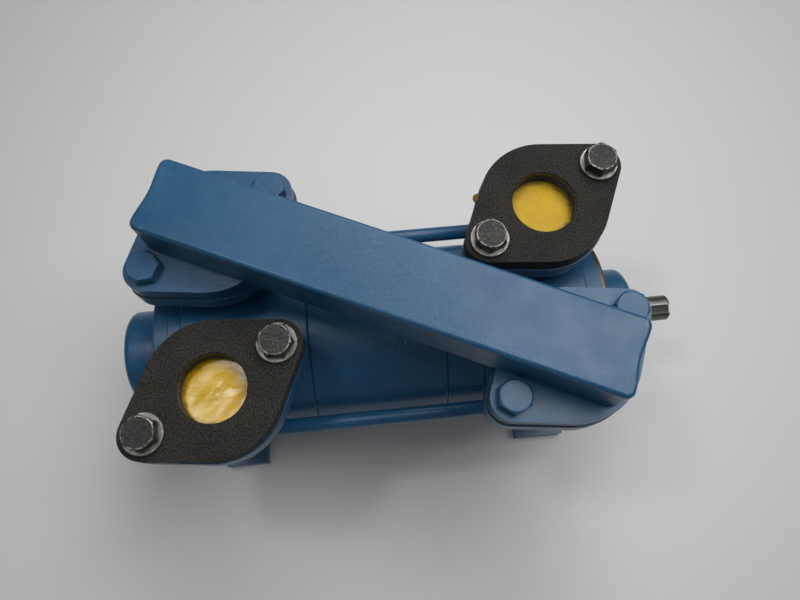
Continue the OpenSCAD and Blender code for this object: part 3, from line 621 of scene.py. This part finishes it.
def blanking_sheets():
    """Thin yellow discs, a little wavy where nothing clamps them."""
    random.seed(4)
    bm = bmesh.new()
    low, high = SHEET_LOW.z, SHEET_HIGH.z
    source = frame["nodes"]["port_blanking_sheets"].data
    for port in (INLET, OUTLET):
        phases = [random.uniform(0, 6.28) for _ in range(3)]
        turns, rings = 96, 22
        layers = []
        for z in (low, high):
            layer = [[bm.verts.new((port.x, port.y, z))]]
            for ring in range(1, rings + 1):
                r = SHEET_R * ring / rings
                free = max(0.0, 1 - (r / THREAD_R) ** 4)
                row = []
                for k in range(turns):
                    a = 2 * math.pi * k / turns
                    x, y = r * math.cos(a), r * math.sin(a)
                    wave = (math.sin(150 * x + phases[0]) + math.sin(210 * y + 90 * x + phases[1])
                            + 0.6 * math.sin(380 * (x - y) + phases[2]))
                    row.append(bm.verts.new((port.x + x, port.y + y, z + FILM_WAVE * free * wave)))
                layer.append(row)
            layers.append(layer)
            for k in range(turns):
                bm.faces.new((layer[0][0], layer[1][k], layer[1][(k + 1) % turns]))
                for ring in range(1, rings):
                    a, b = layer[ring], layer[ring + 1]
                    bm.faces.new((a[k], b[k], b[(k + 1) % turns], a[(k + 1) % turns]))
        for k in range(turns):
            a, b = layers[0][rings], layers[1][rings]
            bm.faces.new((a[k], a[(k + 1) % turns], b[(k + 1) % turns], b[k]))
    tab = [v.co.copy() for v in source.vertices
           if SHEET_R + 0.0002 < math.dist(v.co.xy, OUTLET.xy) < 0.05]
    add_tab(bm, tab, low, high)
    bmesh.ops.recalc_face_normals(bm, faces=bm.faces)
    mesh = bpy.data.meshes.new("sheets")
    bm.to_mesh(mesh)
    bm.free()
    for face in mesh.polygons:
        face.use_smooth = True
    new_piece("port_blanking_sheets_piece", mesh, ["port_blanking_sheets"], FINISH["yellow_film"])


def add_tab(bm, points, low, high):
    """The pull tab of the outlet's sheet: a strip with a round end that bends up a little."""
    end = sum((Vector((p.x, p.y, 0)) for p in points), Vector()) / len(points)
    middle = Vector((OUTLET.x, OUTLET.y, 0))
    way = (end - middle).normalized()
    side = Vector((-way.y, way.x, 0))
    reach = max((Vector((p.x, p.y, 0)) - middle).dot(way) for p in points)
    half, inside = TAB_HALF_WIDTH, 2e-5
    outline = []
    for k in range(13):
        a = -math.pi / 2 + math.pi * k / 12
        outline.append((reach - half + half * math.cos(a), half * math.sin(a)))
    outline += [(TAB_START, half), (TAB_START, -half)]
    rows = []
    for z in (low + inside, high - inside):
        rows.append([bm.verts.new(middle + way * x + side * y
                                  + Vector((0, 0, z + TAB_RISE * max(0, x - TAB_BEND))))
                     for x, y in outline])
    bm.faces.new(rows[0])
    bm.faces.new(list(reversed(rows[1])))
    for k in range(len(outline)):
        n = (k + 1) % len(outline)
        bm.faces.new((rows[0][k], rows[0][n], rows[1][n], rows[1][k]))


def tie_rods():
    """Four painted rods with threaded ends."""
    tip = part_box("tie_rods")[1].x
    groups = []
    for vertex in frame["nodes"]["tie_rods"].data.vertices:
        spot = (vertex.co.y, vertex.co.z)
        near = next((g for g in groups if math.dist(g[0], spot) < 0.014), None)
        if near:
            near.append(spot)
        else:
            groups.append([spot])
    plain = ROD_THREAD_START - 0.0005
    ends = thread_points(ROD_THREAD_START, tip - 0.001, ROD_R, ROD_R - 0.0007, ROD_PITCH)
    profile = [(0, -tip), (ROD_R - 0.001, -tip)] + [(q, -x) for q, x in reversed(ends)]
    profile += [(ROD_R, -plain), (ROD_R, plain)] + ends + [(ROD_R - 0.001, tip), (0, tip)]
    bm = bmesh.new()
    for group in groups:
        ys, zs = [g[0] for g in group], [g[1] for g in group]
        middle = Vector((0, (min(ys) + max(ys)) / 2, (min(zs) + max(zs)) / 2))
        place = Matrix.Translation(middle) @ Matrix.Rotation(math.pi / 2, 4, "Y")
        bm.from_mesh(lathe(profile, 40, place))
    mesh = bpy.data.meshes.new("rods")
    bm.to_mesh(mesh)
    bm.free()
    new_piece("tie_rods_piece", mesh, ["tie_rods"], FINISH["blue_enamel"])


EDGE_WIDTH = {
    "nde_casing": 0.0012, "de_casing": 0.0012, "nde_seal_plate": 0.0006, "tie_rod_nuts": 0.0004,
    "tie_rod_washers": 0.0003, "drain_plug": 0.0004, "companion_washers": 0.0004,
    "bracket_screws": 0.0004, "shaft": 0.0003, "stage_1_ring": 0.0004, "stage_2_ring": 0.0004,
    "nde_bearing_bracket": 0.0008, "de_bearing_bracket": 0.0008,
}
OWN_PAINT = {"stage_1_ring": (RING_1,), "de_bearing_bracket": (BRACKET,)}
for node, width in EDGE_WIDTH.items():
    soften(copied(node, *OWN_PAINT.get(node, ())), width)
manifold()
companion_flange("inlet_flange", INLET)
companion_flange("outlet_flange", OUTLET)
bolt_set("manifold_bolts", FINISH["blue_enamel"])
bolt_set("companion_bolts", FINISH["black_oxide_steel"], EDGE)
blanking_sheets()
tie_rods()


# ---- the floor, the lights and the camera ----

def floor():
    bpy.ops.mesh.primitive_plane_add(size=16)
    plane = bpy.context.object
    plane.name = "floor"
    s = Shader("floor_paper", (0.62, 0.615, 0.61), 0.7)
    tone = s.mix(s.noise(3, 3), (0.70, 0.695, 0.69), (0.73, 0.726, 0.722))
    x, y = s.axis("X"), s.axis("Y")
    # Painted shade: the floor is painted darker away from its middle, in place of the lamps'
    # falloff
    tone = s.mix(s.ramp(s.distance(x, y), 0.12, 0.55), tone, (0.55, 0.546, 0.542))
    plane.data.materials.append(s.finish(tone))


def area_light(name, place, size, power):
    """A soft box at a place, facing the middle of the pump."""
    data = bpy.data.lights.new(name, "AREA")
    data.shape = "RECTANGLE"
    data.size, data.size_y = size
    data.energy = power
    light = bpy.data.objects.new(name, data)
    scene.collection.objects.link(light)
    light.location = place
    aim = Vector((0, 0, 0.15)) - Vector(place)
    light.rotation_euler = aim.to_track_quat("-Z", "Y").to_euler()


def lights():
    world = bpy.data.worlds.new("studio")
    scene.world = world
    world.use_nodes = True
    background = world.node_tree.nodes["Background"]
    background.inputs["Color"].default_value = (0.95, 0.97, 1.0, 1)
    background.inputs["Strength"].default_value = 0.12
    area_light("key", (0.47, 0.17, 1.25), (0.7, 0.6), 7.0)
    area_light("back", (0.05, 0.64, 1.25), (0.4, 0.3), 2.0)
    area_light("rear", (0.35, 1.05, 1.3), (0.6, 0.5), 6.0)
    area_light("left", (-0.34, 0.14, 1.15), (0.13, 0.13), 1.5)
    area_light("top", (-0.45, -0.25, 1.5), (0.8, 0.6), 1.4)


def camera():
    """Looks down on the pump from a little in front of its middle."""
    data = bpy.data.cameras.new("camera")
    data.sensor_width = 36
    data.lens = 29.87
    cam = bpy.data.objects.new("camera", data)
    scene.collection.objects.link(cam)
    place = Vector((-0.00901, -0.12138, 0.56458))
    aim = Vector((0.04275, 0.29888, -0.95333))
    look = aim.to_track_quat("-Z", "Y")
    roll = Quaternion((0, 0, 1), math.radians(2.53))
    cam.matrix_world = Matrix.Translation(place) @ (look @ roll).to_matrix().to_4x4()
    scene.camera = cam


floor()
lights()
camera()

scene.view_settings.view_transform = "Standard"
